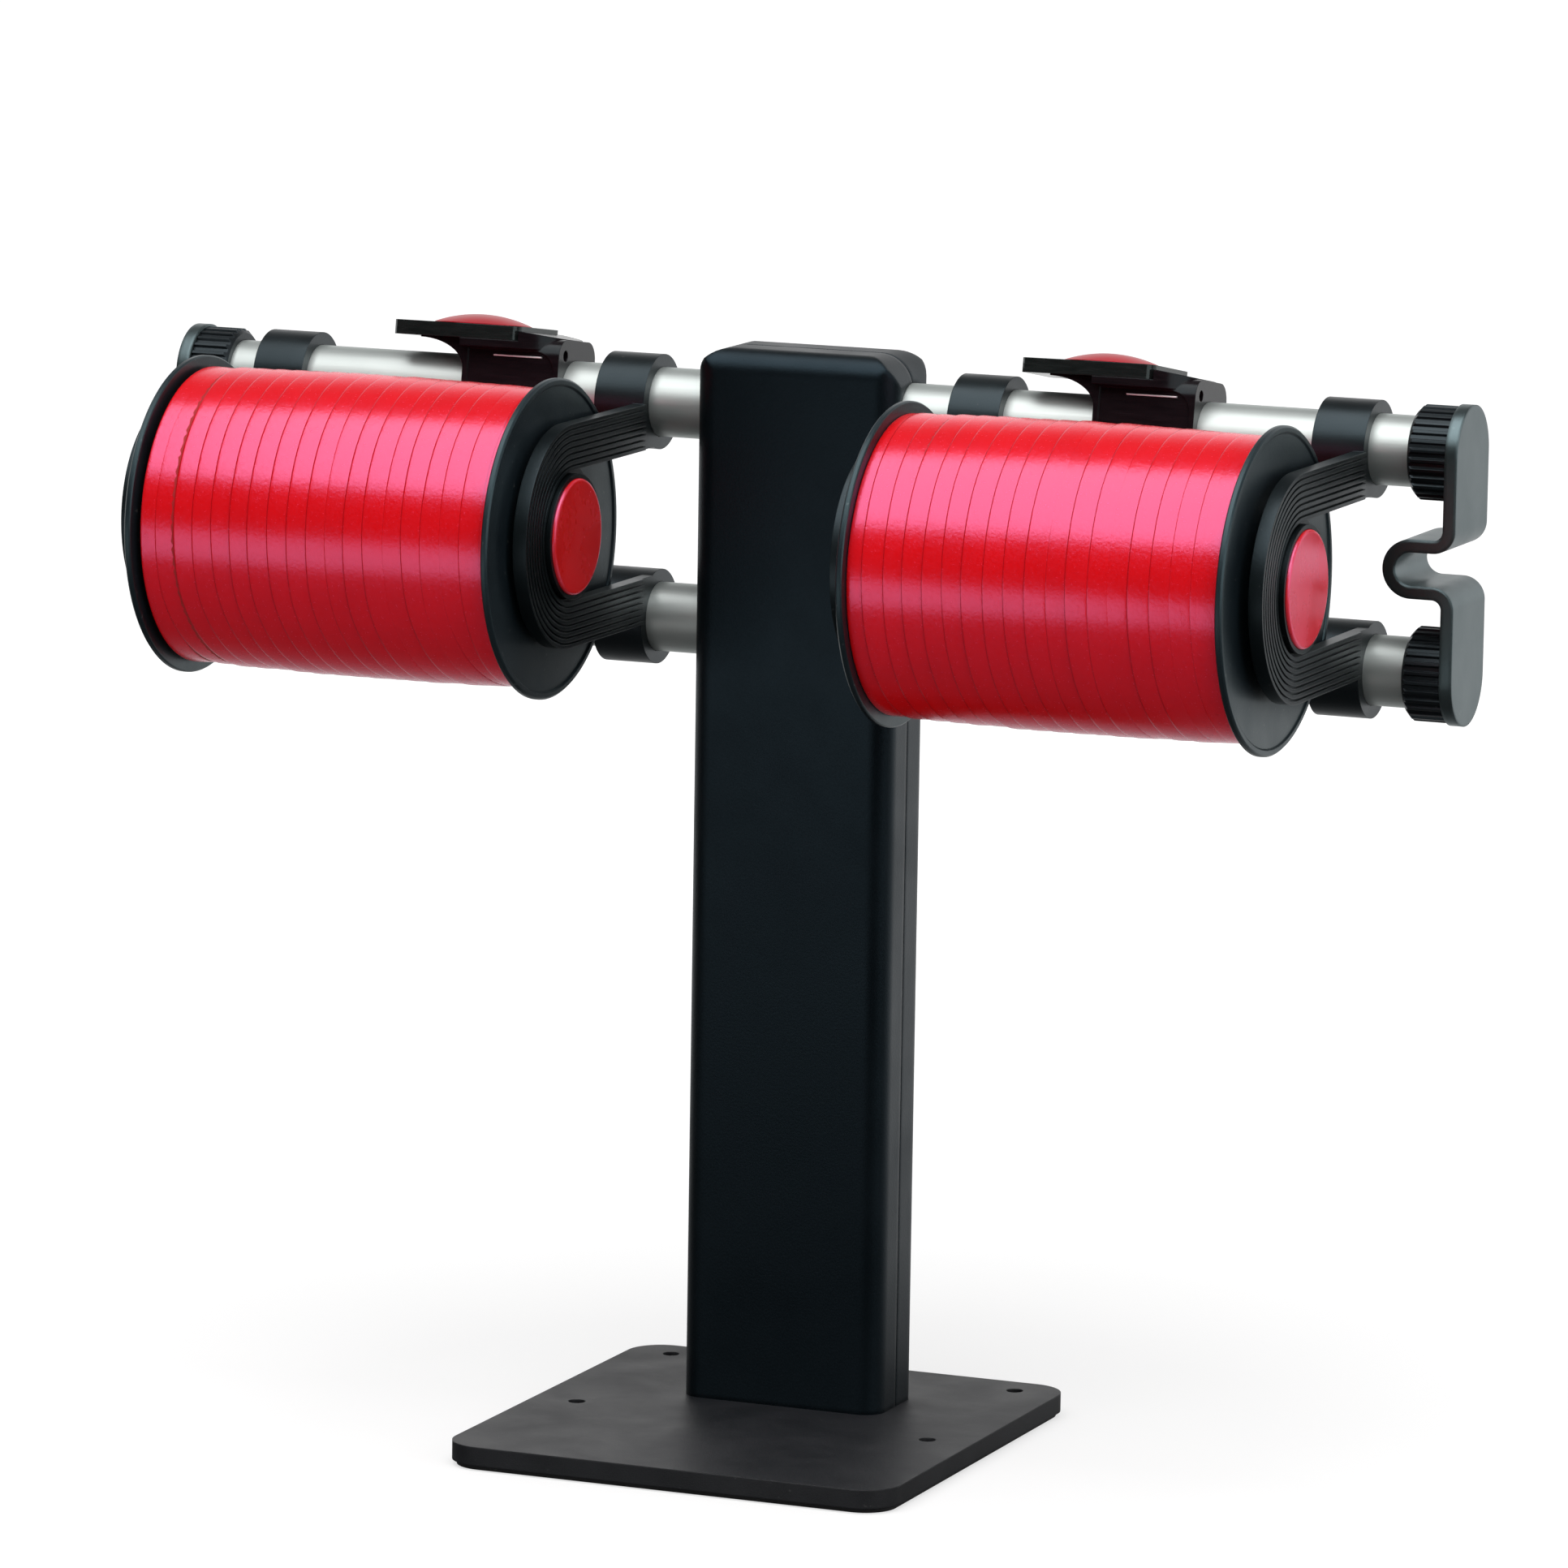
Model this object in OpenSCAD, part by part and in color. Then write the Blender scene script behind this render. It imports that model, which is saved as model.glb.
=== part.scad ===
// Counter ribbon dispenser: a post with two rails, two reels of ribbon held in front of the rails
// between sliding brackets, and a ribbon cutter above each reel.
// Millimetres. X runs along the rails, +Y away from the user, +Z up.
// The origin is on the post's axis, on the counter.

/* [Base] */
// Width of the base plate along the rails
base_w = 150; // [140:1:240]
// Depth of the base plate from front to back
base_d = 160; // [120:1:240]
// Thickness of the steel base plate
base_t = 6; // [4:0.5:12]
// Distance of the base plate's rear edge behind the post's axis
base_rear = 50; // [44:1:70]
// Corner radius of the base plate
base_corner_r = 12; // [4:1:16]
// Thickness of the rubber mat under the base plate
mat_t = 1.5; // [1:0.5:4]
// How far the mat stays inside the plate's edge
mat_inset = 1.5; // [0.5:0.5:4]
// Distance between the counter screw holes along X
fix_hole_sx = 120; // [100:1:125]
// Distance between the counter screw holes along Y
fix_hole_sy = 76; // [50:1:80]
// Diameter of the counter screw holes
fix_hole_d = 5.5; // [3:0.5:8]

/* [Post] */
// Height of the plane midway between the rails above the counter
rail_mid_h = 290; // [240:1:420]
// Width of the post shells
post_w = 68; // [66:1:90]
// Depth of the post shells
post_d = 32; // [31:1:44]
// Wall of the post shells
post_wall = 2.6; // [1.6:0.1:3]
// Top of the post above the upper rail's axis
post_over_rail = 19.9; // [17:0.1:40]
// Radius of the top corners seen from the front
post_corner_r = 11; // [4:0.5:12]
// Radius of the front shell's edges
front_edge_r = 7; // [2:0.5:8]
// Radius of the rear shell's edges
rear_edge_r = 6; // [2:0.5:8]
// Gap of the seam between the two shells
seam_gap = 0.4; // [0.1:0.1:0.8]
// Distance of the shell screws from the post's axis
shell_screw_x = 26.5; // [25:0.5:27]
// Height of the lowest shell screws above the base plate
shell_screw_low = 32; // [16:1:60]
// Height of the middle shell screws above the base plate
shell_screw_mid = 130; // [80:1:180]
// Length of the shell screws
shell_screw_len = 22; // [16:0.5:24]
// Thread diameter of the shell screws
shell_screw_d = 2.5; // [2:0.1:3]
// Head diameter of the shell screws
shell_screw_head_d = 5.6; // [4.5:0.1:6.5]
// Diameter of the shell screw bosses
shell_boss_d = 6.8; // [6:0.1:7.4]

/* [Column and rail head] */
// Width of the steel column
column_w = 40; // [30:1:42]
// Depth of the steel column
column_d = 20; // [14:1:21]
// Wall of the steel column
column_wall = 2; // [1.5:0.5:3]
// Width of the column's foot flange
flange_w = 60; // [56:1:60]
// Depth of the column's foot flange
flange_d = 24; // [22:1:26]
// Thickness of the column's foot flange
flange_t = 4; // [3:0.5:6]
// Distance of the foot screws from the post's axis along X
foot_screw_x = 25; // [24:0.5:26]
// Distance of the foot screws from the post's axis along Y
foot_screw_y = 7; // [4:0.5:8]
// Thread diameter of the foot screws
foot_screw_d = 4; // [3:0.5:5]
// Width of the cast rail head
head_w = 44; // [36:1:45]
// Depth of the cast rail head
head_d = 26; // [24.5:0.5:26.5]
// Rail head metal above the upper rail's axis
head_over_rail = 14.5; // [13:0.5:16]
// Rail head metal below the lower rail's axis
head_under_rail = 17; // [14:0.5:24]
// Length of the rail head's spigot inside the column
spigot_len = 24; // [15:1:40]
// Distance of the rail clamp screws from the post's axis
clamp_screw_x = 12; // [8:0.5:16]
// Diameter of the rail clamp screws
clamp_screw_d = 4; // [3:0.5:5]

/* [Rails] */
// Outer diameter of the rails
rail_d = 22; // [20:0.5:22.5]
// Wall of the rails
rail_wall = 1.5; // [1:0.1:2.5]
// Distance between the two rail axes
rail_pitch = 68.5; // [66:0.1:80]
// Length of the rails
rail_len = 425; // [422:1:520]
// How far the rails are pushed to the right in the post
rail_shift = 1.8; // [-3:0.1:3]

/* [End plates] */
// Thickness of the end plate band
plate_t = 4; // [3:0.1:5]
// Width of the end plates from front to back
plate_w = 30.8; // [30:0.1:36]
// Width of the loop's mouth between the bands
mouth_gap = 10.3; // [7:0.1:14]
// Distance of the loop's centre from the plate's outer face
loop_reach = 13.9; // [12:0.1:18]
// Inner radius of the bends between plate and mouth
bend_r = 3; // [1.5:0.1:4]
// Length of the spigots that plug the rails
plug_len = 14; // [8:1:20]
// Clearance between plug and rail bore
plug_clear = 0.2; // [0.1:0.05:0.4]

/* [Grip rings] */
// Outer diameter of the fluted rings
ring_d = 29.4; // [26:0.1:30]
// Length of the fluted rings
ring_len = 12.7; // [8:0.1:13]
// Number of flutes around a ring
ring_flutes = 30; // [18:1:36]
// Depth of the flutes
flute_depth = 0.8; // [0.4:0.1:1.2]
// Chamfer at the ring's inner end
ring_chamfer = 1.5; // [0.5:0.1:2]

/* [Reel brackets] */
// Distance between the outer faces of the right bracket pair
right_span = 137; // [136.5:0.1:138]
// Distance between the outer faces of the left bracket pair
left_span = 136.4; // [136:0.1:138]
// Share of the right rails' free length that lies between post and brackets
right_inner_share = 0.564; // [0.52:0.001:0.6]
// Share of the left rails' free length that lies between post and brackets
left_inner_share = 0.625; // [0.6:0.001:0.65]
// Outer diameter of the collars
collar_d = 30.2; // [28:0.1:31]
// Length of the collars
collar_len = 17; // [12:0.5:20]
// Radial running clearance of the collars on the rails
collar_clear = 0.08; // [0.05:0.01:0.2]
// Distance of the hub's axis in front of the rails
hub_forward = 72; // [70:0.5:90]
// Outer radius of the C-shaped band
band_outer_r = 35; // [33:0.5:38]
// Width of the C-shaped band
band_width = 14.5; // [12:0.1:14.6]
// Thickness of the band without its ribs
band_t = 3.5; // [2.5:0.1:5]
// Number of ribs on the band
rib_count = 8; // [4:1:10]
// Height of the ribs
rib_h = 0.9; // [0.3:0.1:1.2]
// Gap between two ribs
rib_gap = 0.75; // [0.3:0.05:0.9]
// Thrust disc radius behind the hub
thrust_r = 24; // [22:0.5:28]
// How far the thrust face stands behind the collar's face
thrust_back = 4.5; // [4:0.1:5]

/* [Hub] */
// Diameter of the hub ring around the cap
hub_ring_d = 39.2; // [38:0.1:40.8]
// How far the hub ring stands out of the collar's face
hub_ring_out = 2.3; // [1:0.1:3]
// Diameter of the hub cap
cap_d = 36.2; // [34:0.1:38]
// How far the cap stands out of the hub ring
cap_out = 1; // [0.3:0.1:1.5]
// Radius of the cap's rounded edge
cap_edge_r = 0.9; // [0.4:0.1:1.2]
// Thickness of the cap's disc
cap_t = 2; // [1.5:0.1:2.4]
// Radial clearance of the cap in its seat
cap_clear = 0.1; // [0.05:0.05:0.3]
// Diameter of the hub stub that carries the reel
stub_d = 24; // [18:0.5:24.5]
// Length of the hub stub
stub_len = 10; // [6:0.5:11]
// Chamfer of the hub stub's tip
stub_chamfer = 1.5; // [0.5:0.1:2.5]
// Thread diameter of the hub screw
hub_screw_d = 5; // [3:0.5:6]

/* [Reels] */
// Diameter of the reel flanges
flange_dia = 100; // [80:1:102]
// Overall length of a reel
reel_len = 123.5; // [122:0.5:125]
// Thickness of the reel flanges
reel_flange_t = 2.2; // [1.6:0.1:4]
// Radial clearance of the reel's bore around the stub
reel_play = 1.4; // [0.3:0.1:1.8]
// Gap left above the stub when the reel hangs on it
reel_hang_gap = 0.1; // [0.05:0.05:0.2]
// Wall of the reel's core
core_wall = 3.8; // [2:0.1:6]
// Diameter over the wound ribbon
ribbon_d = 93.6; // [50:0.1:98]
// How far the right reel hangs to the right of the middle of its brackets
reel_right_shift = 0.15; // [-0.7:0.01:0.6]
// How far the left reel hangs to the right of the middle of its brackets
reel_left_shift = 0.94; // [-0.6:0.01:1.2]
// Gap between the ribbon and the flanges
ribbon_gap = 0.1; // [0.05:0.05:0.5]
// Core left bare at the left end of the left reel
ribbon_bare = 1.8; // [0:0.1:6]

/* [Cutters] */
// Skirt's left edge of the right cutter, from the middle of its brackets
cutter_right_shift = -20.7; // [-25:0.1:-10]
// Skirt's left edge of the left cutter, from the middle of its brackets
cutter_left_shift = 4.59; // [-5:0.01:9]
// Tilt of the right cutter on the rail, front up
cutter_right_tilt = 10; // [0:1:20]
// Tilt of the left cutter on the rail, front up
cutter_left_tilt = 8; // [0:1:20]
// Length of the cutter body along the rail
cutter_len = 33.2; // [30:0.1:40]
// Radial running clearance of the cutter on the rail
cutter_clear = 0.08; // [0.05:0.01:0.2]
// Distance of the skirt's front face from the rail's axis
skirt_y = 14.4; // [13.5:0.1:16]
// Wall of the cutter body
cutter_wall = 2.3; // [1.6:0.1:2.6]
// Bottom of the cutter body below the rail's axis
skirt_drop = 6; // [4:0.5:8]
// Underside of the top plate above the rail's axis
deck_z = 16; // [15.6:0.1:18]
// Thickness of the body's deck
deck_t = 2.4; // [1.6:0.1:2.8]
// Half width of deck and top plate
deck_half = 17.8; // [17.6:0.1:20]
// Height of the deck's raised right part where it starts
deck_step = 3.2; // [2:0.1:4]
// Length of the curved gusset under the tongue
gusset_len = 15; // [8:0.5:16]
// Height of the curved gusset at the skirt
gusset_h = 9.4; // [6:0.2:10]
// Thickness of the top plate
top_t = 4.6; // [4:0.1:6]
// Radius of the top plate's right corners
top_corner_r = 4; // [2:0.5:5]
// Length of the tongue left of the skirt
tongue_len = 25; // [20:0.5:30]
// Half width of the tongue's tip
tongue_half = 13.5; // [12:0.5:16]
// Length of the top plate right of the skirt's left edge
top_right = 19.6; // [18:0.1:22]
// Height of the body's right end above the rail's axis
end_top = 17.3; // [16.6:0.1:17.3]
// Radius of the body's upper corners at its right end
end_corner_r = 6; // [3:0.5:6]
// Depth of the recess in the skirt's front and back
arch_depth = 0.7; // [0.3:0.1:0.8]
// Width of the rim beside the skirt's recess
arch_rim = 1.7; // [1:0.1:3]
// Radius of the upper corner of the skirt's recess
arch_r = 6.5; // [3:0.5:8]
// Diameter of the button
button_d = 31; // [24:0.5:33]
// Radial clearance of the button in its seat
button_clear = 0.3; // [0.2:0.05:0.5]
// Height of the button's dome
button_dome = 3.1; // [1.5:0.1:5]
// How far the button's rim stands out of the top plate
button_rim_out = 0.3; // [0:0.1:1]
// Travel of the button
button_travel = 1.6; // [1:0.1:1.8]
// Diameter of the button's stem
stem_d = 3.5; // [2.5:0.1:3.8]
// Length of the slot in the skirt
slot_len = 16.5; // [10:0.5:18]
// Start of the slot from the skirt's left edge
slot_start = 10.5; // [8:0.5:12]
// Height of the slot above the rail's axis
slot_z = 10.9; // [10:0.1:11.4]
// Distance of the end wall's hole in front of the rail's axis
end_hole_y = 9.2; // [8.6:0.1:10]
// Height of the end wall's hole above the rail's axis
end_hole_z = 12.2; // [11.6:0.1:12.6]
// Diameter of the end wall's hole
end_hole_d = 3.6; // [2:0.1:4]
// Thickness of the blade
blade_t = 0.5; // [0.3:0.05:0.8]
// Clearance of the blade in the slot
blade_clear = 0.1; // [0.05:0.05:0.2]
// Wire diameter of the button's spring
wire_d = 0.7; // [0.4:0.1:0.9]
// Turns of the button's spring
wire_turns = 4; // [3:1:5]

/* [Hidden] */
$fn = 64;
rail_r = rail_d / 2;
upper_z = rail_mid_h + rail_pitch / 2;
lower_z = rail_mid_h - rail_pitch / 2;
plate_top_z = mat_t + base_t;
base_forward = base_d / 2 - base_rear;
rail_x0 = rail_shift - rail_len / 2;
rail_x1 = rail_shift + rail_len / 2;
ring_back_gap = 0.1;
right_free = rail_x1 - ring_back_gap - ring_len - post_w / 2 - right_span;
left_free = -rail_x0 - ring_back_gap - ring_len - post_w / 2 - left_span;
right_pair_x = post_w / 2 + right_inner_share * right_free + right_span / 2;
left_pair_x = post_w / 2 + left_inner_share * left_free + left_span / 2;
reel_right_x = right_pair_x + reel_right_shift;
reel_left_x = -left_pair_x + reel_left_shift;
cutter_right_x = right_pair_x + cutter_right_shift;
cutter_left_x = -left_pair_x + cutter_left_shift;
same_body_fit = 0.04;
eps = 0.01;

post_top_z = upper_z + post_over_rail;
inner_half_d = post_d / 2 - post_wall;
shell_screw_z = [plate_top_z + shell_screw_low, plate_top_z + shell_screw_mid, rail_mid_h];
shell_screw_head_h = 1.8;
shell_screw_hole_clear = 0.2;

column_top_z = lower_z - head_under_rail;
spigot_clear = 0.2;
head_screw_x = 10;
head_screw_d = 4;
head_screw_head_d = 7;
head_screw_head_h = 1.8;
head_screw_bite = 5;
screw_hole_clear = 0.1;
foot_head_d = 7.4;
foot_head_h = 2.4;

loop_r = mouth_gap / 2;
bend_out_r = bend_r + plate_t;
ring_bore_r = rail_r + collar_clear;

collar_bore_r = rail_r + collar_clear;
band_inner_r = band_outer_r - band_width;
band_root_y = -collar_bore_r / 2;
rib_end_y = -collar_d / 2 + 0.2;
rib_pitch = (band_width + rib_gap) / rib_count;
hub_floor_x = -1.4;
seat_r = cap_d / 2 + cap_clear;
cap_skirt_w = 2;
hub_head_d = 8.4;
hub_head_h = 1.75;
hub_screw_len = 10.6;

bore_r = stub_d / 2 + reel_play;
reel_drop = reel_play - reel_hang_gap;
core_r = bore_r + core_wall;
flange_relief = 0.5;
flange_rim_w = 2;

button_r = button_d / 2;
seat_floor_z = deck_z + top_t + button_rim_out - 2 - button_travel - 0.1;
button_under_z = deck_z + top_t + button_rim_out - 2;
dome_r = (button_r * button_r + button_dome * button_dome) / (2 * button_dome);
pocket_r = stem_d / 2 + 2.1;
pocket_floor_z = rail_r + 1.95;
foot_gap = 0.2;
stem_bottom_z = rail_r + button_travel + foot_gap;
stem_hole_r = stem_d / 2 + 0.1;
spring_r = (stem_d / 2 + pocket_r) / 2;
boss_r = pocket_r + 1.6;
deck_end = 1.4;
arch_top = deck_z - deck_t - 0.6;

// A box between two corners
module box(x0, x1, y0, y1, z0, z1) {
    translate([x0, y0, z0]) cube([x1 - x0, y1 - y0, z1 - z0]);
}

// A round bar along X
module bar_x(x0, x1, r) {
    translate([x0, 0, 0]) rotate([0, 90, 0]) cylinder(r = r, h = x1 - x0);
}

// A round bar along Y
module bar_y(y0, y1, r) {
    translate([0, y0, 0]) rotate([-90, 0, 0]) cylinder(r = r, h = y1 - y0);
}

// Extrudes an outline drawn in Y and Z along X
module along_x(x0, x1) {
    translate([x0, 0, 0]) rotate([90, 0, 90]) linear_extrude(x1 - x0) children();
}

// Extrudes an outline drawn in X and Z along Y
module along_y(y0, y1) {
    translate([0, y1, 0]) rotate([90, 0, 0]) linear_extrude(y1 - y0) children();
}

// A rectangle with one radius on its low side and another on its high side
module soft_rect(x0, x1, y0, y1, r_low, r_high) {
    translate([x0, y0 + r_low]) square([x1 - x0, y1 - y0 - r_low - r_high]);
    if (r_low > 0) {
        translate([x0 + r_low, y0]) square([x1 - x0 - 2 * r_low, r_low * 1.5]);
        for (x = [x0 + r_low, x1 - r_low]) translate([x, y0 + r_low]) circle(r = r_low);
    }
    if (r_high > 0) {
        translate([x0 + r_high, y1 - r_high * 1.5]) square([x1 - x0 - 2 * r_high, r_high * 1.5]);
        for (x = [x0 + r_high, x1 - r_high]) translate([x, y1 - r_high]) circle(r = r_high);
    }
}

// Places its children at the four counter screw holes
module at_fix_holes() {
    for (sx = [-1, 1], sy = [-1, 1])
        translate([sx * fix_hole_sx / 2, sy * fix_hole_sy / 2, 0]) children();
}

// Outline of the base, smaller by inset all round
module base_outline(inset) {
    soft_rect(-base_w / 2 + inset, base_w / 2 - inset,
        -base_forward - base_d / 2 + inset, -base_forward + base_d / 2 - inset,
        base_corner_r - inset, base_corner_r - inset);
}

module at_foot_screws() {
    for (sx = [-1, 1], sy = [-1, 1])
        translate([sx * foot_screw_x, sy * foot_screw_y, 0]) children();
}

module base_mat() {
    color("#1c1c1e") difference() {
        linear_extrude(mat_t) base_outline(mat_inset);
        at_fix_holes() translate([0, 0, -1]) cylinder(d = fix_hole_d, h = mat_t + 2);
    }
}

module base_plate() {
    color("#26282a") difference() {
        translate([0, 0, mat_t]) linear_extrude(base_t) base_outline(0);
        at_fix_holes() translate([0, 0, mat_t - 1]) cylinder(d = fix_hole_d, h = base_t + 2);
        at_foot_screws() {
            translate([0, 0, mat_t - 1]) cylinder(d = foot_screw_d + 2 * screw_hole_clear, h = base_t + 2);
            translate([0, 0, mat_t - 1])
                cylinder(d = foot_head_d + 2 * screw_hole_clear, h = 1 + foot_head_h + 0.1);
        }
    }
}

module foot_screws() {
    color("silver") at_foot_screws() {
        translate([0, 0, mat_t + 0.1]) cylinder(d = foot_head_d, h = foot_head_h);
        translate([0, 0, mat_t + foot_head_h])
            cylinder(d = foot_screw_d, h = base_t - foot_head_h + flange_t - 0.3);
    }
}

module column() {
    color("#55585c") difference() {
        union() {
            box(-column_w / 2, column_w / 2, -column_d / 2, column_d / 2, plate_top_z, column_top_z);
            box(-flange_w / 2, flange_w / 2, -flange_d / 2, flange_d / 2,
                plate_top_z, plate_top_z + flange_t);
        }
        box(-column_w / 2 + column_wall, column_w / 2 - column_wall, -column_d / 2 + column_wall,
            column_d / 2 - column_wall, plate_top_z - 1, column_top_z + 1);
        at_foot_screws() translate([0, 0, plate_top_z - 1])
            cylinder(d = foot_screw_d + 2 * same_body_fit, h = flange_t + 2);
        for (s = [-1, 1]) translate([s * head_screw_x, 0, column_top_z - spigot_len / 2])
            bar_y(0, column_d, head_screw_d / 2 + screw_hole_clear);
    }
}

module rail_head() {
    spigot_x = column_w / 2 - column_wall - spigot_clear;
    spigot_y = column_d / 2 - column_wall - spigot_clear;
    color("#9a9da1") difference() {
        union() {
            box(-head_w / 2, head_w / 2, -head_d / 2, head_d / 2, column_top_z, upper_z + head_over_rail);
            box(-spigot_x, spigot_x, -spigot_y, spigot_y, column_top_z - spigot_len, column_top_z + 1);
        }
        for (z = [upper_z, lower_z]) {
            translate([0, 0, z]) bar_x(-head_w, head_w, rail_r + same_body_fit);
            for (s = [-1, 1]) translate([s * clamp_screw_x, 0, z])
                bar_y(0, head_d, clamp_screw_d / 2 + same_body_fit);
        }
        for (s = [-1, 1]) translate([s * head_screw_x, 0, column_top_z - spigot_len / 2])
            bar_y(spigot_y - head_screw_bite - 0.3, head_d, head_screw_d / 2 + same_body_fit);
    }
}

module head_screws() {
    color("silver") for (s = [-1, 1]) translate([s * head_screw_x, 0, column_top_z - spigot_len / 2]) {
        bar_y(column_d / 2 - column_wall - spigot_clear - head_screw_bite, column_d / 2 + 0.5,
            head_screw_d / 2);
        bar_y(column_d / 2 + 0.05, column_d / 2 + 0.05 + head_screw_head_h, head_screw_head_d / 2);
    }
}

module rail_clamp_screws() {
    color("silver") for (z = [upper_z, lower_z], s = [-1, 1])
        translate([s * clamp_screw_x, 0, z])
            bar_y(rail_r - rail_wall - 1, head_d / 2, clamp_screw_d / 2);
}

// Outer form of the post, or its inner space when inset is the wall
module post_form(inset) {
    z0 = inset > 0 ? plate_top_z - 1 : plate_top_z;
    x = post_w / 2 - inset;
    y = post_d / 2 - inset;
    z1 = post_top_z - inset;
    rf = max(front_edge_r - inset, 0.6);
    rr = max(rear_edge_r - inset, 0.6);
    rc = max(post_corner_r - inset, 0.6);
    intersection() {
        translate([0, 0, z0]) linear_extrude(z1 - z0) soft_rect(-x, x, -y, y, rf, rr);
        along_y(-y, y) soft_rect(-x, x, z0, z1, 0, rc);
        along_x(-x, x) union() {
            translate([-y, z0]) square([2 * y, z1 - z0 - max(rf, rr)]);
            translate([-y + rf, z0]) square([2 * y - rf - rr, z1 - z0]);
            translate([-y + rf, z1 - rf]) circle(r = rf);
            translate([y - rr, z1 - rr]) circle(r = rr);
            translate([-y + rf, z0]) square([2 * y - rf, z1 - z0 - rr]);
        }
    }
}

module at_shell_screws() {
    for (s = [-1, 1], z = shell_screw_z) translate([s * shell_screw_x, 0, z]) children();
}

module rail_holes() {
    for (z = [upper_z, lower_z]) translate([0, 0, z]) bar_x(-post_w, post_w, rail_r + 0.15);
}

module front_shell() {
    far = post_w * 2;
    color("#17191b") difference() {
        intersection() {
            union() {
                difference() {
                    post_form(0);
                    post_form(post_wall);
                }
                at_shell_screws() bar_y(-inner_half_d - 0.5, 0, shell_boss_d / 2);
            }
            box(-far, far, -post_d, -seam_gap / 2, 0, post_top_z + post_d);
        }
        rail_holes();
        at_shell_screws() bar_y(-inner_half_d + 1.5, 1, shell_screw_d / 2 + same_body_fit);
    }
}

module rear_shell() {
    far = post_w * 2;
    color("#17191b") difference() {
        intersection() {
            union() {
                difference() {
                    post_form(0);
                    post_form(post_wall);
                }
                at_shell_screws() bar_y(0, inner_half_d + 0.5, shell_boss_d / 2);
            }
            box(-far, far, seam_gap / 2, post_d, 0, post_top_z + post_d);
        }
        rail_holes();
        at_shell_screws() {
            bar_y(-1, post_d, shell_screw_d / 2 + shell_screw_hole_clear);
            bar_y(post_d / 2 - shell_screw_head_h - 0.2, post_d,
                shell_screw_head_d / 2 + shell_screw_hole_clear);
        }
    }
}

module shell_screws() {
    color("#3a3c3e") at_shell_screws() {
        bar_y(post_d / 2 - shell_screw_head_h - 0.2, post_d / 2 - 0.2, shell_screw_head_d / 2);
        bar_y(post_d / 2 - shell_screw_len, post_d / 2 - 1, shell_screw_d / 2);
    }
}

module rail(z) {
    color("#c9ccd0") translate([0, 0, z]) difference() {
        bar_x(rail_x0, rail_x1, rail_r);
        bar_x(rail_x0 - 1, rail_x1 + 1, rail_r - rail_wall);
        for (s = [-1, 1]) translate([s * clamp_screw_x, 0, 0])
            bar_y(rail_r / 2, rail_d, clamp_screw_d / 2 + screw_hole_clear);
    }
}

// One end of the plate's band seen from the front: x = 0 is the outer face, z = 0 the mouth
module band_profile() {
    bend_z = loop_r + bend_out_r;
    end_z = rail_pitch / 2 + plate_w / 2;
    for (s = [0, 1]) mirror([0, s]) {
        translate([-plate_t, bend_z]) square([plate_t, end_z - bend_z]);
        intersection() {
            translate([-bend_out_r, bend_z]) difference() {
                circle(r = bend_out_r);
                circle(r = bend_r);
            }
            translate([-bend_out_r, bend_z - bend_out_r]) square([bend_out_r, bend_out_r + eps]);
        }
        translate([-loop_reach, loop_r]) square([loop_reach - bend_out_r + eps, plate_t]);
    }
    intersection() {
        translate([-loop_reach, 0]) difference() {
            circle(r = loop_r + plate_t);
            circle(r = loop_r);
        }
        translate([-loop_reach - 2 * bend_out_r - loop_r, -rail_pitch])
            square([2 * bend_out_r + loop_r + eps, 2 * rail_pitch]);
    }
}

// side is 1 for the right end and -1 for the left end
module end_plate(side) {
    outer_x = rail_shift + side * (rail_len / 2 + plate_t);
    color("#34363a") translate([outer_x, 0, rail_mid_h]) mirror([side < 0 ? 1 : 0, 0, 0]) union() {
        intersection() {
            along_y(-plate_w / 2, plate_w / 2) band_profile();
            along_x(-loop_reach - 2 * bend_out_r - loop_r, 1) union() {
                for (s = [-1, 1]) translate([0, s * rail_pitch / 2]) circle(r = plate_w / 2);
                translate([-plate_w / 2, -rail_pitch / 2]) square([plate_w, rail_pitch]);
            }
        }
        for (s = [-1, 1]) translate([0, 0, s * rail_pitch / 2])
            bar_x(-plate_t - plug_len, -plate_t / 2, rail_r - rail_wall - plug_clear);
    }
}

// Fluted ring on a rail's end; z is the rail's height
module grip_ring(side, z) {
    r = ring_d / 2;
    step = 360 / ring_flutes;
    outline = [for (i = [0 : ring_flutes - 1], k = [0 : 3])
        let (a = step * (i + [0.02, 0.16, 0.46, 0.60][k]), q = k == 0 || k == 3 ? r - flute_depth : r)
        [q * cos(a), q * sin(a)]];
    x_back = rail_shift + side * (rail_len / 2 - ring_back_gap);
    color("#1a1b1d") translate([x_back, 0, z]) mirror([side < 0 ? 1 : 0, 0, 0]) difference() {
        intersection() {
            along_x(-ring_len, 0) polygon(outline);
            translate([-ring_len, 0, 0]) rotate([0, 90, 0]) union() {
                cylinder(r1 = r - ring_chamfer, r2 = r + eps, h = ring_chamfer, $fn = 96);
                translate([0, 0, ring_chamfer - eps]) cylinder(r = r + eps, h = ring_len);
            }
        }
        bar_x(-ring_len - 1, 1, ring_bore_r);
    }
}

// A C-shaped outline in Y and Z between two radii about the hub, open to the rear at y_end
module c_outline(r_out, r_in, y_end) {
    difference() {
        union() {
            translate([-hub_forward, 0]) circle(r = r_out, $fn = 128);
            translate([-hub_forward, -r_out]) square([hub_forward + y_end, 2 * r_out]);
        }
        translate([-hub_forward, 0]) circle(r = r_in, $fn = 96);
        translate([-hub_forward, -r_in]) square([hub_forward + y_end + 1, 2 * r_in]);
    }
}

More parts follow.
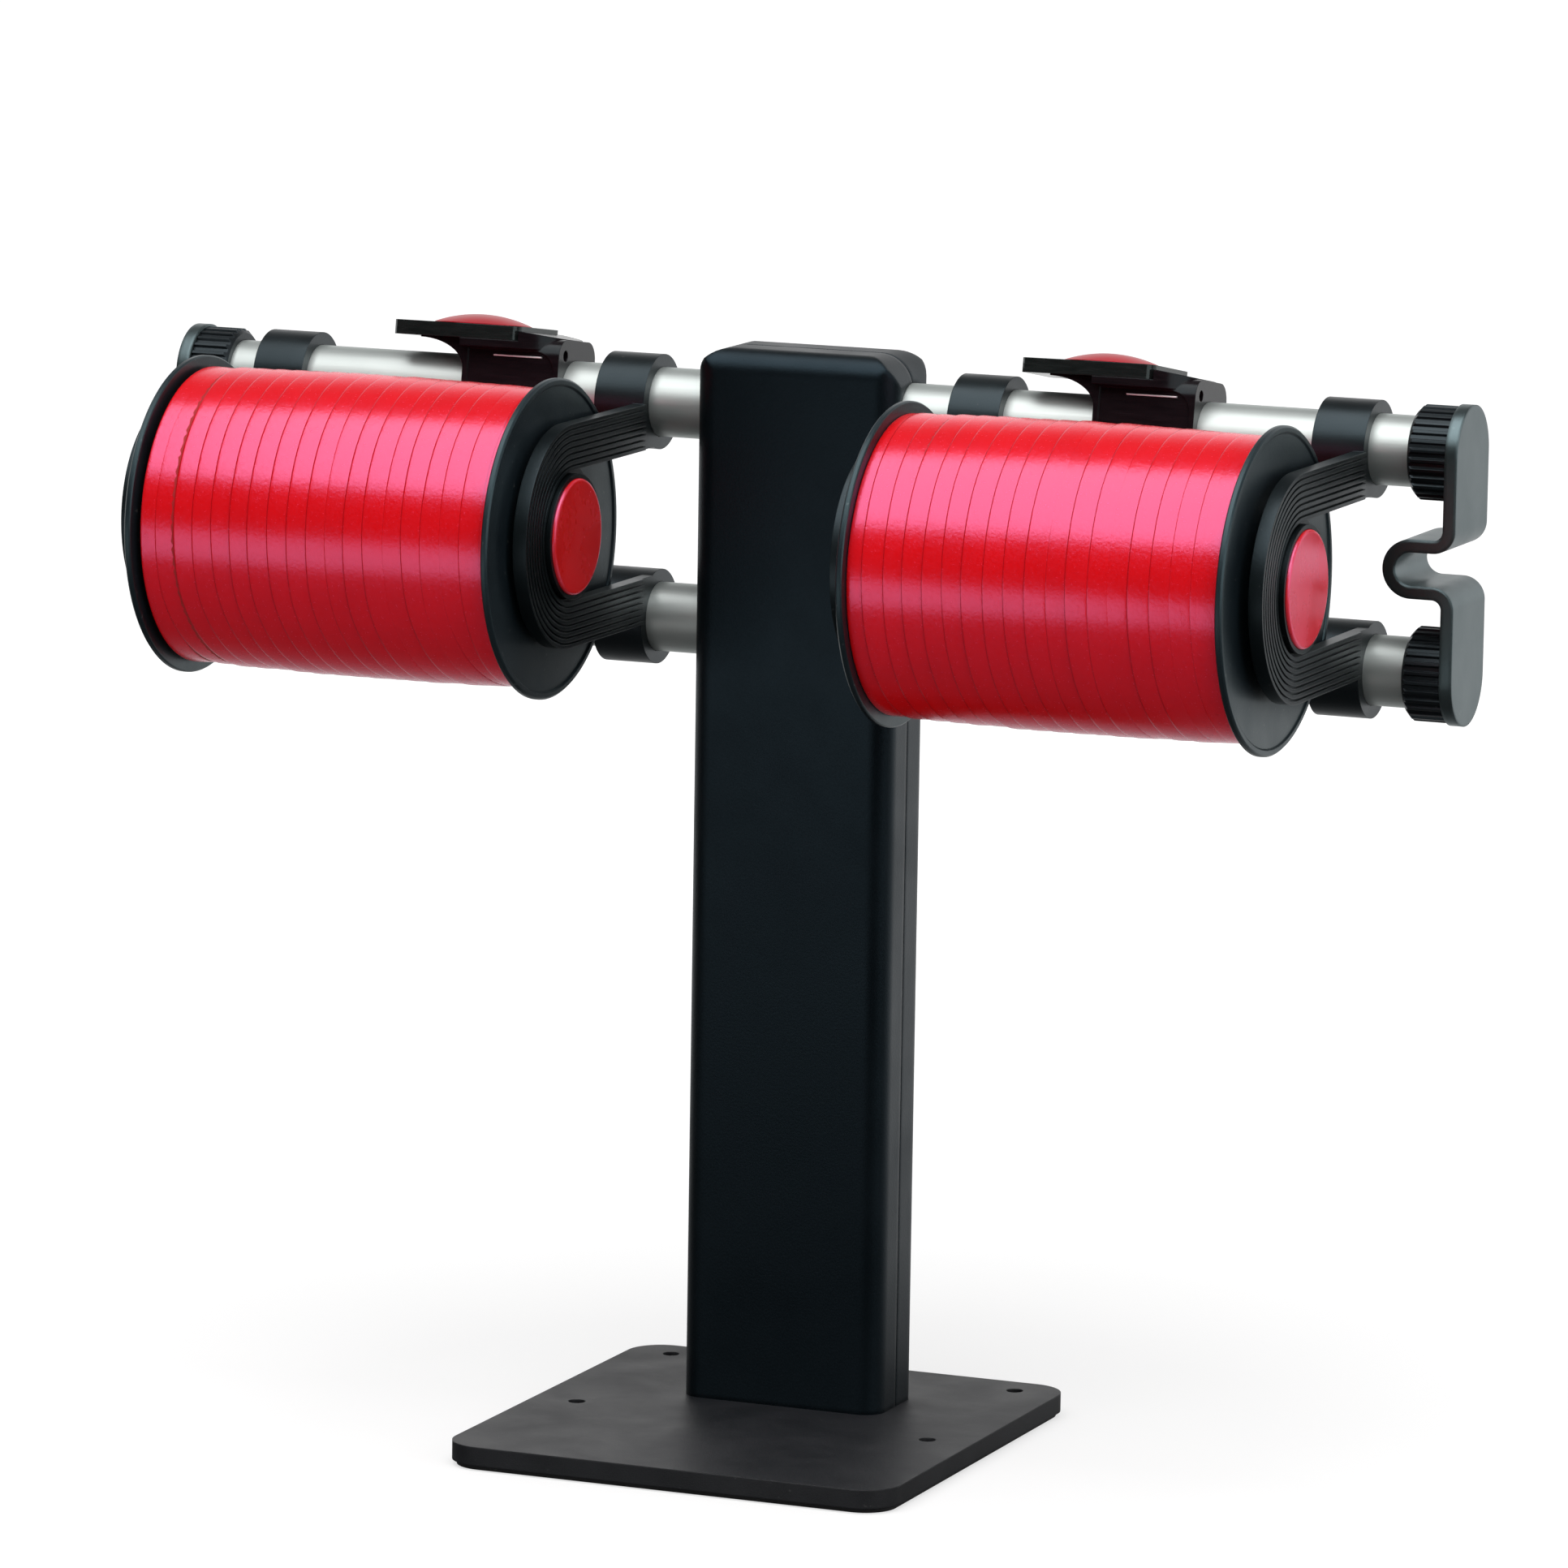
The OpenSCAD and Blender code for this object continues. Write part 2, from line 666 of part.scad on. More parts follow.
// Puts a bracket's pieces in place: pair is 1 right or -1 left, way is the side its ribs face
module at_bracket(pair, way) {
    pair_x = pair > 0 ? right_pair_x : -left_pair_x;
    span = pair > 0 ? right_span : left_span;
    translate([pair_x + way * span / 2, 0, rail_mid_h])
        mirror([way < 0 ? 1 : 0, 0, 0]) children();
}

module at_hub() {
    translate([0, -hub_forward, 0]) children();
}

module bracket(pair, way) {
    hub_r = hub_ring_d / 2;
    color("#25282a") at_bracket(pair, way) difference() {
        union() {
            for (s = [-1, 1]) translate([0, 0, s * rail_pitch / 2]) bar_x(-collar_len, 0, collar_d / 2);
            along_x(-band_t, 0) c_outline(band_outer_r, band_inner_r, band_root_y);
            for (k = [0 : rib_count - 1]) along_x(-eps, rib_h)
                c_outline(band_outer_r - k * rib_pitch,
                    band_outer_r - (k + 1) * rib_pitch + rib_gap, rib_end_y);
            at_hub() bar_x(-thrust_back, -band_t + 1, thrust_r);
            at_hub() bar_x(-thrust_back, hub_ring_out, hub_r);
        }
        for (s = [-1, 1]) translate([0, 0, s * rail_pitch / 2])
            bar_x(-collar_len - 1, rib_h + 1, collar_bore_r);
        at_hub() bar_x(hub_floor_x, hub_ring_out + 1, seat_r);
        at_hub() bar_x(-thrust_back - 1, hub_floor_x + 1, hub_screw_d / 2 + screw_hole_clear);
    }
}

module hub_stub(pair, way) {
    r = stub_d / 2;
    color("#d8d4c8") at_bracket(pair, way) at_hub() translate([-thrust_back, 0, 0]) difference() {
        rotate([0, -90, 0]) union() {
            cylinder(r = r, h = stub_len - stub_chamfer);
            translate([0, 0, stub_len - stub_chamfer])
                cylinder(r1 = r, r2 = r - stub_chamfer, h = stub_chamfer);
        }
        bar_x(-hub_screw_len + thrust_back + hub_floor_x - 0.3, 1, hub_screw_d / 2 + same_body_fit);
    }
}

module hub_screw(pair, way) {
    color("silver") at_bracket(pair, way) at_hub() {
        bar_x(hub_floor_x, hub_floor_x + hub_head_h, hub_head_d / 2);
        bar_x(hub_floor_x - hub_screw_len + 0.1, hub_floor_x + 0.5, hub_screw_d / 2);
    }
}

module hub_cap(pair, way) {
    face_x = hub_ring_out + cap_out;
    edge = [for (i = [0 : 4])
        [cap_d / 2 - cap_edge_r * (1 - cos(22.5 * i)), face_x - cap_edge_r * (1 - sin(22.5 * i))]];
    color("#d8281e") at_bracket(pair, way) at_hub() rotate([0, 90, 0]) rotate_extrude($fn = 96)
        polygon(concat([[0, face_x - cap_t], [cap_d / 2 - cap_skirt_w, face_x - cap_t],
            [cap_d / 2 - cap_skirt_w, hub_floor_x + 0.05], [cap_d / 2, hub_floor_x + 0.05]],
            edge, [[0, face_x]]));
}

// Centre of a reel
module at_reel(x) {
    translate([x, -hub_forward, rail_mid_h - reel_drop]) children();
}

module reel(x) {
    r = flange_dia / 2;
    h = reel_len / 2;
    color("#3b4046") at_reel(x) rotate([0, 90, 0]) rotate_extrude($fn = 128) polygon([
        [bore_r, -h], [thrust_r + 1, -h], [thrust_r + 1.5, -h + flange_relief],
        [r - flange_rim_w - 0.5, -h + flange_relief], [r - flange_rim_w, -h], [r - 0.6, -h], [r, -h + 0.6],
        [r, -h + reel_flange_t - 0.4], [r - 0.4, -h + reel_flange_t], [core_r, -h + reel_flange_t],
        [core_r, h - reel_flange_t], [r - 0.4, h - reel_flange_t], [r, h - reel_flange_t + 0.4],
        [r, h - 0.6], [r - 0.6, h], [r - flange_rim_w, h], [r - flange_rim_w - 0.5, h - flange_relief],
        [thrust_r + 1.5, h - flange_relief], [thrust_r + 1, h], [bore_r, h]]);
}

// bare is the length of core that stays free of ribbon at the left end
module ribbon(x, bare) {
    h = reel_len / 2 - reel_flange_t - ribbon_gap;
    color("#d8141c") at_reel(x) difference() {
        bar_x(-h + bare, h, ribbon_d / 2);
        bar_x(-h - 1, h + 1, core_r + 0.05);
    }
}

// A cutter stands at x on the upper rail; its front is turned up by tilt
module at_cutter(x, tilt) {
    translate([x, 0, upper_z]) rotate([-tilt, 0, 0]) children();
}

// Outline of the deck seen from above, with a round right end
module deck_outline(x0, half) {
    translate([cutter_len - half, 0]) circle(r = half, $fn = 96);
    translate([x0, -half]) square([cutter_len - half - x0, 2 * half]);
}

module cutter_body(x, tilt) {
    in_y = skirt_y - cutter_wall;
    bore = rail_r + cutter_clear;
    shoulder_x = cutter_len - deck_half + sqrt(deck_half * deck_half - skirt_y * skirt_y);
    color("#4a4446", 0.85) at_cutter(x, tilt) difference() {
        union() {
            box(0, shoulder_x, -skirt_y, skirt_y, -skirt_drop, deck_z);
            along_x(shoulder_x - 1, cutter_len)
                soft_rect(-skirt_y, skirt_y, -skirt_drop, end_top, 0, end_corner_r);
            translate([0, 0, deck_z - deck_t]) linear_extrude(deck_t) deck_outline(0, deck_half);
            intersection() {
                translate([0, 0, deck_z - 1]) linear_extrude(deck_step + 1) deck_outline(0, deck_half);
                along_y(-2 * deck_half, 2 * deck_half) polygon([[top_right + 0.3, deck_z - 1],
                    [cutter_len, deck_z - 1], [cutter_len, deck_z + deck_end],
                    [top_right + 0.3, deck_z + deck_step]]);
            }
            along_y(-skirt_y, skirt_y) polygon(concat(
                [[0.5, deck_z - gusset_h], [0.5, deck_z], [-gusset_len, deck_z]],
                [for (i = [0 : 12]) [-gusset_len * (1 - sin(7.5 * i)),
                    deck_z - gusset_h + (gusset_h - 0.5) * cos(7.5 * i)]]));
        }
        difference() {
            box(cutter_wall, cutter_len - cutter_wall - 0.7, -in_y, in_y, -skirt_drop - 1, deck_z - deck_t);
            translate([0, 0, rail_r - 2]) cylinder(r = boss_r, h = deck_z);
        }
        for (s = [-1, 1]) translate([0, s * (skirt_y + 1), 0]) along_y(-1 - arch_depth, 1 + arch_depth) {
            translate([arch_rim, -skirt_drop - 1]) square([cutter_len / 2, skirt_drop + 1 + arch_top]);
            soft_rect(arch_rim, cutter_len - arch_rim, -skirt_drop - 1, arch_top, 0, arch_r);
        }
        bar_x(-2 * gusset_len, cutter_len + 1, bore);
        box(-deck_half, cutter_len + 1, -2 * deck_half, 2 * deck_half, -3 * deck_half, -skirt_drop);
        translate([0, 0, pocket_floor_z]) cylinder(r = pocket_r, h = deck_z);
        cylinder(r = stem_hole_r, h = deck_z);
        box(slot_start - 0.2, slot_start + slot_len + 0.2, -skirt_y - 1, -in_y + 0.5,
            slot_z, slot_z + blade_t + blade_clear);
        translate([0, -end_hole_y, end_hole_z])
            bar_x(cutter_len - cutter_wall - 1, cutter_len + 1, end_hole_d / 2);
    }
}

module cutter_top(x, tilt) {
    color("#3c3638", 0.85) at_cutter(x, tilt) difference() {
        translate([0, 0, deck_z]) linear_extrude(top_t) union() {
            circle(r = deck_half, $fn = 96);
            translate([-1, -deck_half + 0.05]) square([top_right - top_corner_r + 1, 2 * deck_half - 0.1]);
            translate([0, top_corner_r - deck_half]) square([top_right, 2 * deck_half - 2 * top_corner_r]);
            for (s = [-1, 1]) translate([top_right - top_corner_r, s * (deck_half - top_corner_r - 0.05)])
                circle(r = top_corner_r);
            polygon([[-tongue_len + 1, -tongue_half], [3, 0.3 - deck_half], [3, deck_half - 0.3],
                [-tongue_len + 1, tongue_half], [-tongue_len, tongue_half - 1],
                [-tongue_len, 1 - tongue_half]]);
        }
        translate([0, 0, seat_floor_z]) cylinder(r = button_r + button_clear, h = deck_z, $fn = 96);
        translate([0, 0, deck_z - 1]) cylinder(r = pocket_r, h = deck_z);
    }
}

module cutter_button(x, tilt) {
    rim_z = deck_z + top_t + button_rim_out;
    color("#d8281e") at_cutter(x, tilt) union() {
        translate([0, 0, button_under_z]) cylinder(r = button_r, h = rim_z - button_under_z, $fn = 96);
        intersection() {
            translate([0, 0, rim_z + button_dome - dome_r]) sphere(r = dome_r, $fn = 96);
            translate([0, 0, rim_z - eps]) cylinder(r = button_r, h = button_dome + 1, $fn = 96);
        }
        translate([0, 0, stem_bottom_z]) cylinder(r = stem_d / 2, h = button_under_z - stem_bottom_z + eps);
    }
}

module cutter_blade(x, tilt) {
    color("silver") at_cutter(x, tilt)
        box(slot_start, slot_start + slot_len, -skirt_y + 0.3, -skirt_y + 6,
            slot_z + blade_clear / 2, slot_z + blade_clear / 2 + blade_t);
}

// A round wire swept along a coil from z0 to z1
module coil(r, wire, z0, z1, turns) {
    per_turn = 14;
    sides = 6;
    n = turns * per_turn;
    rings = [for (i = [0 : n], j = [0 : sides - 1])
        let (a = 360 * i / per_turn, b = 360 * j / sides, q = r + wire / 2 * cos(b))
        [q * cos(a), q * sin(a), z0 + wire / 2 + (z1 - z0 - wire) * i / n + wire / 2 * sin(b)]];
    skin = [for (i = [0 : n - 1], j = [0 : sides - 1])
        [i * sides + j, i * sides + (j + 1) % sides, (i + 1) * sides + (j + 1) % sides, (i + 1) * sides + j]];
    ends = [[for (j = [sides - 1 : -1 : 0]) j], [for (j = [0 : sides - 1]) n * sides + j]];
    polyhedron(points = rings, faces = concat(skin, ends), convexity = 6);
}

module cutter_spring(x, tilt) {
    color("silver") at_cutter(x, tilt)
        coil(spring_r, wire_d, pocket_floor_z + 0.05, button_under_z - 0.05, wire_turns);
}

base_mat();
base_plate();
foot_screws();
column();
rail_head();
head_screws();
rail_clamp_screws();
front_shell();
rear_shell();
shell_screws();
rail(upper_z);  // upper_rail
rail(lower_z);  // lower_rail
end_plate(1);  // end_plate_right
end_plate(-1);  // end_plate_left
grip_ring(1, upper_z);  // grip_ring_right_upper
grip_ring(1, lower_z);  // grip_ring_right_lower
grip_ring(-1, upper_z);  // grip_ring_left_upper
grip_ring(-1, lower_z);  // grip_ring_left_lower
bracket(1, 1);  // bracket_right_outer
bracket(1, -1);  // bracket_right_inner
bracket(-1, 1);  // bracket_left_inner
bracket(-1, -1);  // bracket_left_outer
hub_stub(1, 1);  // hub_stub_right_outer
hub_stub(1, -1);  // hub_stub_right_inner
hub_stub(-1, 1);  // hub_stub_left_inner
hub_stub(-1, -1);  // hub_stub_left_outer
hub_screw(1, 1);  // hub_screw_right_outer
hub_screw(1, -1);  // hub_screw_right_inner
hub_screw(-1, 1);  // hub_screw_left_inner
hub_screw(-1, -1);  // hub_screw_left_outer
hub_cap(1, 1);  // hub_cap_right_outer
hub_cap(1, -1);  // hub_cap_right_inner
hub_cap(-1, 1);  // hub_cap_left_inner
hub_cap(-1, -1);  // hub_cap_left_outer
reel(reel_right_x);  // reel_right
reel(reel_left_x);  // reel_left
ribbon(reel_right_x, 0);  // ribbon_right
ribbon(reel_left_x, ribbon_bare);  // ribbon_left
cutter_body(cutter_right_x, cutter_right_tilt);  // cutter_body_right
cutter_body(cutter_left_x, cutter_left_tilt);  // cutter_body_left
cutter_top(cutter_right_x, cutter_right_tilt);  // cutter_top_right
cutter_top(cutter_left_x, cutter_left_tilt);  // cutter_top_left
cutter_button(cutter_right_x, cutter_right_tilt);  // cutter_button_right
cutter_button(cutter_left_x, cutter_left_tilt);  // cutter_button_left
cutter_blade(cutter_right_x, cutter_right_tilt);  // cutter_blade_right
cutter_blade(cutter_left_x, cutter_left_tilt);  // cutter_blade_left
cutter_spring(cutter_right_x, cutter_right_tilt);  // cutter_spring_right
cutter_spring(cutter_left_x, cutter_left_tilt);  // cutter_spring_left
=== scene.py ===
import math
import bpy
from mathutils import Matrix, Vector


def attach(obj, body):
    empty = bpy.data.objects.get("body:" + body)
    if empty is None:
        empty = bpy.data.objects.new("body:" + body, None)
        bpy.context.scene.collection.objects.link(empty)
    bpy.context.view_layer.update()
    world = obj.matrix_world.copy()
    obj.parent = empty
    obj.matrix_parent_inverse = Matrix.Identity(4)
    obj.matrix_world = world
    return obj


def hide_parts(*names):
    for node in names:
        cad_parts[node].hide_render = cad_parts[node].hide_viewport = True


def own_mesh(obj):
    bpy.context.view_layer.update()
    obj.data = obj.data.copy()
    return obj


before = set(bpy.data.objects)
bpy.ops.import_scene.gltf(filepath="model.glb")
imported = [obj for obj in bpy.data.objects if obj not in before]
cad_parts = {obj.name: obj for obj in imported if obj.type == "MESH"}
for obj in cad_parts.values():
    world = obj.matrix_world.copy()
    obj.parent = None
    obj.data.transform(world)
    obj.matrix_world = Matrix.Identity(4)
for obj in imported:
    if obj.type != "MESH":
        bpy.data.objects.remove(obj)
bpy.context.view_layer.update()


# ---- Camera ---------------------------------------------------------------------------------
# Long lens from the front right and a little above, as the stand is photographed. The angles, the
# distance and the aim come from fitting the rails, flanges and post edges to the photograph.
view_turn = math.radians(22.421)
view_rise = math.radians(9.305)
view_roll = math.radians(0.883)
view_distance = 2.977764
film_width = 36.0
lens_length = 215.99
far_limit = 20.0
aim = Vector((-0.007842, 0.000525, 0.204984))


def looking(across, over, back, place):
    """The matrix of a camera or lamp at a place, with its three axes; it looks against its back."""
    return Matrix((
        (across.x, over.x, back.x, place[0]),
        (across.y, over.y, back.y, place[1]),
        (across.z, over.z, back.z, place[2]),
        (0.0, 0.0, 0.0, 1.0)))


back = Vector((
    math.sin(view_turn) * math.cos(view_rise),
    -math.cos(view_turn) * math.cos(view_rise),
    math.sin(view_rise)))
level = Vector((math.cos(view_turn), math.sin(view_turn), 0.0))
upward = back.cross(level)
side_axis = math.cos(view_roll) * level + math.sin(view_roll) * upward
up_axis = math.cos(view_roll) * upward - math.sin(view_roll) * level
camera = bpy.data.objects.new("camera", bpy.data.cameras.new("camera"))
camera.data.sensor_width = film_width
camera.data.lens = lens_length
camera.data.clip_end = far_limit
camera.matrix_world = looking(side_axis, up_axis, back, aim + view_distance * back)
bpy.context.scene.collection.objects.link(camera)
bpy.context.scene.camera = camera
bpy.context.scene.view_settings.view_transform = "Standard"


# ---- Studio: lamps, backdrop and floor ------------------------------------------------------
# A wide soft box hangs over the stand, a low panel stands at the front left and a box at the right.
# The room behind is white, the room in front is dim, and the pale floor keeps the stand's shadow.
floor_reach = 6.0
floor_drop = 0.0002
floor_tone = 0.38
mirrored_floor_tone = 0.02
white = (1.0, 1.0, 1.0, 1.0)


def add(tree, kind, feeds=(), **options):
    """Adds a node with its options; feeds links or sets its inputs by name or number."""
    made = tree.nodes.new(kind)
    for key, value in options.items():
        setattr(made, key, value)
    for key, value in dict(feeds).items():
        if isinstance(value, bpy.types.NodeSocket):
            tree.links.new(value, made.inputs[key])
        else:
            made.inputs[key].default_value = value
    return made


def sums(tree, operation, a, b=0.0, c=0.0):
    """One sum of a tree; its answer is a socket."""
    return add(tree, "ShaderNodeMath", {0: a, 1: b, 2: c}, operation=operation).outputs[0]


def plus(tree, a, b):
    """Adds two values or sockets."""
    return sums(tree, "ADD", a, b)


def minus(tree, a, b):
    """Takes one value or socket from another."""
    return sums(tree, "SUBTRACT", a, b)


def times(tree, a, b):
    """Multiplies two values or sockets."""
    return sums(tree, "MULTIPLY", a, b)


def spread(tree, value, low, high, at_low, at_high, soft=False):
    """Maps low to high onto at_low to at_high, held at both ends; its answer is a socket."""
    curve = "SMOOTHSTEP" if soft else "LINEAR"
    feeds = {"Value": value, 1: low, 2: high, 3: at_low, 4: at_high}
    return add(tree, "ShaderNodeMapRange", feeds, interpolation_type=curve).outputs[0]


def split(tree, coordinates):
    """The X, Y and Z of one kind of texture coordinates, as sockets."""
    place = add(tree, "ShaderNodeTexCoord").outputs[coordinates]
    return add(tree, "ShaderNodeSeparateXYZ", {0: place}).outputs


def soft_lamp(name, place, target, wide, deep, strength):
    """An area lamp of a given surface brightness, turned to its target and hidden from the camera."""
    lamp = bpy.data.lights.new(name, "AREA")
    lamp.shape = "RECTANGLE"
    lamp.size = wide
    lamp.size_y = deep
    lamp.energy = strength * math.pi * wide * deep
    held = bpy.data.objects.new(name, lamp)
    toward = (Vector(target) - Vector(place)).normalized()
    over = (-toward).cross(Vector((1.0, 0.0, 0.0))).normalized()
    across = over.cross(-toward).normalized()
    held.matrix_world = looking(across, over, -toward, place)
    held.visible_camera = False
    bpy.context.scene.collection.objects.link(held)


soft_lamp("soft_box", place=(0.05, -0.62, 1.60), target=(0.0, -0.06, 0.29),
    wide=2.1, deep=1.75, strength=3.0)
soft_lamp("front_panel", place=(-0.24, -0.66, 0.140), target=(-0.02, -0.07, 0.22),
    wide=0.60, deep=0.21, strength=1.05)
soft_lamp("right_box", place=(1.35, -0.55, 0.65), target=(0.0, -0.03, 0.25),
    wide=1.0, deep=1.0, strength=1.8)

room = bpy.data.worlds.new("room")
bpy.context.scene.world = room
room.use_nodes = True
tree = room.node_tree
tree.nodes.clear()
rays = add(tree, "ShaderNodeLightPath").outputs
way = split(tree, "Generated")
behind = spread(tree, way["Y"], low=-0.10, high=0.40, at_low=0.04, at_high=1.0, soft=True)
aloft = spread(tree, way["Z"], low=0.25, high=0.75, at_low=1.0, at_high=0.12, soft=True)
light = sums(tree, "MAXIMUM", times(tree, behind, aloft), rays["Is Camera Ray"])
paper = add(tree, "ShaderNodeBackground", {"Color": white, "Strength": light})
add(tree, "ShaderNodeOutputWorld", {0: paper.outputs[0]})

floor_mesh = bpy.data.meshes.new("floor")
floor_signs = ((-1, -1), (1, -1), (1, 1), (-1, 1))
floor_corners = [(x * floor_reach, y * floor_reach, -floor_drop) for x, y in floor_signs]
floor_mesh.from_pydata(floor_corners, [], [(0, 1, 2, 3)])
floor = bpy.data.objects.new("floor", floor_mesh)
bpy.context.scene.collection.objects.link(floor)
pale_floor = bpy.data.materials.new("pale_floor")
pale_floor.use_nodes = True
tree = pale_floor.node_tree
tree.nodes.clear()
rays = add(tree, "ShaderNodeLightPath").outputs
spot = split(tree, "Object")
away = sums(tree, "SQRT", plus(tree, times(tree, spot["X"], spot["X"]), times(tree, spot["Y"], spot["Y"])))
veil = spread(tree, away, low=0.15, high=0.9, at_low=0.66, at_high=1.0)
behind = spread(tree, spot["Y"], low=-0.10, high=0.50, at_low=0.03, at_high=0.85, soft=True)
mirrored = sums(tree, "MAXIMUM", rays["Is Glossy Ray"], rays["Is Transmission Ray"])
seen = sums(tree, "MAXIMUM", times(tree, rays["Is Camera Ray"], veil), times(tree, mirrored, behind))
pale = sums(tree, "MULTIPLY_ADD", mirrored, mirrored_floor_tone - floor_tone, floor_tone)
grey = add(tree, "ShaderNodeCombineXYZ", {0: pale, 1: pale, 2: pale})
matt = add(tree, "ShaderNodeBsdfDiffuse", {"Color": grey.outputs[0]})
glow = add(tree, "ShaderNodeEmission", {"Color": white, "Strength": seen})
both = add(tree, "ShaderNodeAddShader", {0: matt.outputs[0], 1: glow.outputs[0]})
add(tree, "ShaderNodeOutputMaterial", {0: both.outputs[0]})
floor_mesh.materials.append(pale_floor)


# ---- Base: rubber mat, steel plate and foot screws ------------------------------------------
# A 6 mm steel plate with a fine textured powder coat stands on a ribbed black rubber mat. Four
# countersunk steel screws come up through the plate into the column's foot.
dust_colour = (0.55, 0.54, 0.52, 1.0)
tone_swing = 0.10
bevel_samples = 4


def noise(tree, place, scale, detail, roughness=0.5, distortion=0.0):
    """Noise over the surface, from 0 to 1; its answer is a socket."""
    feeds = {"Vector": place, "Scale": scale, "Detail": detail,
        "Roughness": roughness, "Distortion": distortion}
    return add(tree, "ShaderNodeTexNoise", feeds).outputs[0]


def blend(tree, factor, first, second):
    """Mixes two colours, given as values or sockets; its answer is a socket."""
    mixed = add(tree, "ShaderNodeMix", {"Factor": factor, "A": first, "B": second}, data_type="RGBA")
    return next(socket for socket in mixed.outputs if socket.type == "RGBA")


def skin_group():
    """Shared node group: the fine relief, slow clouding and rare specks of a moulded or coated skin."""
    made = bpy.data.node_groups.new("moulded_skin", "ShaderNodeTree")
    for name, start in (("Grain", 1400.0), ("Cloud", 45.0)):
        socket = made.interface.new_socket(name=name, in_out="INPUT", socket_type="NodeSocketFloat")
        socket.default_value = start
    for name in ("Height", "Tone", "Specks"):
        made.interface.new_socket(name=name, in_out="OUTPUT", socket_type="NodeSocketFloat")
    given = add(made, "NodeGroupInput").outputs
    place = add(made, "ShaderNodeTexCoord").outputs["Object"]
    fine = noise(made, place, given["Grain"], detail=3.0, roughness=0.6)
    slow = noise(made, place, given["Cloud"], detail=4.0, roughness=0.55, distortion=0.3)
    dots = noise(made, place, 520.0, detail=1.0)
    tone = spread(made, slow, low=0.32, high=0.68, at_low=0.0, at_high=1.0)
    specks = spread(made, dots, low=0.74, high=0.80, at_low=0.0, at_high=1.0)
    add(made, "NodeGroupOutput", {"Height": fine, "Tone": tone, "Specks": specks})
    return made


moulded_skin = skin_group()


def start_finish(name):
    """A new material with only its shader and output; gives the material, its tree and the shader."""
    made = bpy.data.materials.new(name)
    made.use_nodes = True
    made.node_tree.nodes.clear()
    shader = add(made.node_tree, "ShaderNodeBsdfPrincipled")
    add(made.node_tree, "ShaderNodeOutputMaterial", {0: shader.outputs[0]})
    return made, made.node_tree, shader


def relieve(tree, shader, height, depth, edge=0.0):
    """Gives the shader a relief of a given depth, over edges softened by a given radius."""
    feeds = {"Strength": 1.0, "Distance": depth, "Height": height}
    if edge:
        feeds["Normal"] = add(tree, "ShaderNodeBevel", {"Radius": edge}, samples=bevel_samples).outputs[0]
    tree.links.new(add(tree, "ShaderNodeBump", feeds).outputs[0], shader.inputs["Normal"])


def skin_finish(name, dark, lit, dull, grain, depth,
        cloud=45.0, edge=0.0004, dust=0.05, gloss=(1.0, 1.0, 1.0), index=1.5):
    """Moulded plastic, rubber or coating: two close tones, a relief, softened edges and a little dust."""
    made, tree, shader = start_finish(name)
    skin = add(tree, "ShaderNodeGroup", {"Grain": grain, "Cloud": cloud}, node_tree=moulded_skin).outputs
    tone = blend(tree, skin["Tone"], (*dark, 1.0), (*lit, 1.0))
    dusty = blend(tree, times(tree, skin["Specks"], dust), tone, dust_colour)
    rough = sums(tree, "MULTIPLY_ADD", skin["Tone"], tone_swing, dull - tone_swing / 2.0)
    tree.links.new(dusty, shader.inputs["Base Color"])
    tree.links.new(rough, shader.inputs["Roughness"])
    relieve(tree, shader, skin["Height"], depth, edge)
    shader.inputs["IOR"].default_value = index
    shader.inputs["Specular Tint"].default_value = (*gloss, 1.0)
    return made


def dress(finish, *names):
    """Gives CAD nodes their finish."""
    for name in names:
        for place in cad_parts[name].material_slots:
            place.material = finish


mat_rubber = skin_finish("mat_rubber", dark=(0.012, 0.012, 0.013), lit=(0.022, 0.022, 0.023),
    dull=0.72, grain=700.0, depth=0.00010)
powder_coat = skin_finish("powder_coat", dark=(0.009, 0.010, 0.012), lit=(0.014, 0.015, 0.018),
    dull=0.50, grain=2200.0, depth=0.00006, edge=0.0006)
dress(mat_rubber, "base_mat")
dress(powder_coat, "base_plate")


# ---- Column and rail head -------------------------------------------------------------------
# A welded steel box column stands inside the post and carries a cast aluminium head. The head's two
# bores hold the rails, each clamped by two steel screws.
line_swing = 0.16


def stretched(tree, place, stretch):
    """A place multiplied along each axis; its answer is a socket."""
    return add(tree, "ShaderNodeVectorMath", {0: place, 1: stretch}, operation="MULTIPLY").outputs[0]


def metal_group():
    """Shared node group: drawn or turned lines, stretched along the axis with the smallest scale."""
    made = bpy.data.node_groups.new("drawn_lines", "ShaderNodeTree")
    stretch = made.interface.new_socket(name="Stretch", in_out="INPUT", socket_type="NodeSocketVector")
    stretch.default_value = (20.0, 1500.0, 1500.0)
    for name in ("Lines", "Tarnish"):
        made.interface.new_socket(name=name, in_out="OUTPUT", socket_type="NodeSocketFloat")
    given = add(made, "NodeGroupInput").outputs
    place = add(made, "ShaderNodeTexCoord").outputs["Object"]
    pulled = stretched(made, place, given["Stretch"])
    lines = noise(made, pulled, 1.0, detail=3.0, roughness=0.65)
    slow = noise(made, place, 38.0, detail=4.0)
    tarnish = spread(made, slow, low=0.35, high=0.70, at_low=0.0, at_high=1.0)
    add(made, "NodeGroupOutput", {"Lines": lines, "Tarnish": tarnish})
    return made


drawn_lines = metal_group()


